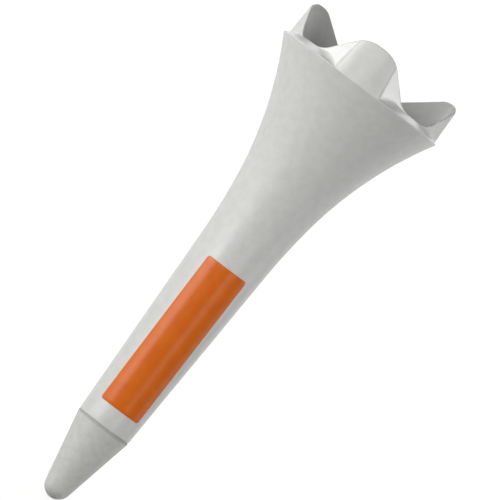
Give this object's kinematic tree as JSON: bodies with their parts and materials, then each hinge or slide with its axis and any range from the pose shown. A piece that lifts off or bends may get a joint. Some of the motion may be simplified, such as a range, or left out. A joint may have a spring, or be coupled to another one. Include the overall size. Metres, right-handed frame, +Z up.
{
  "type": "golf tee",
  "caption": "Short plastic golf tee with a pronged crown round a conical cup, a flared head, a tapered shank with a blank printed panel, and a separate blunt tip.",
  "frame": {"origin": "lowest point of the tip, on the tee's axis", "axes": "+Z up the tee's axis from the tip to the prongs; one prong faces -Y; +X to the right of that prong"},
  "size_m": [0.013, 0.013, 0.0381],
  "materials": {
    "body_plastic": "satin moulded, faintly mottled",
    "tip_plastic": "fine matt moulded",
    "panel_ink": "glossy printed ink"
  },
  "bodies": {
    "root": {"head_and_shank": "body_plastic", "tip": "tip_plastic", "printed_panel": "panel_ink"}
  },
  "joints": []
}
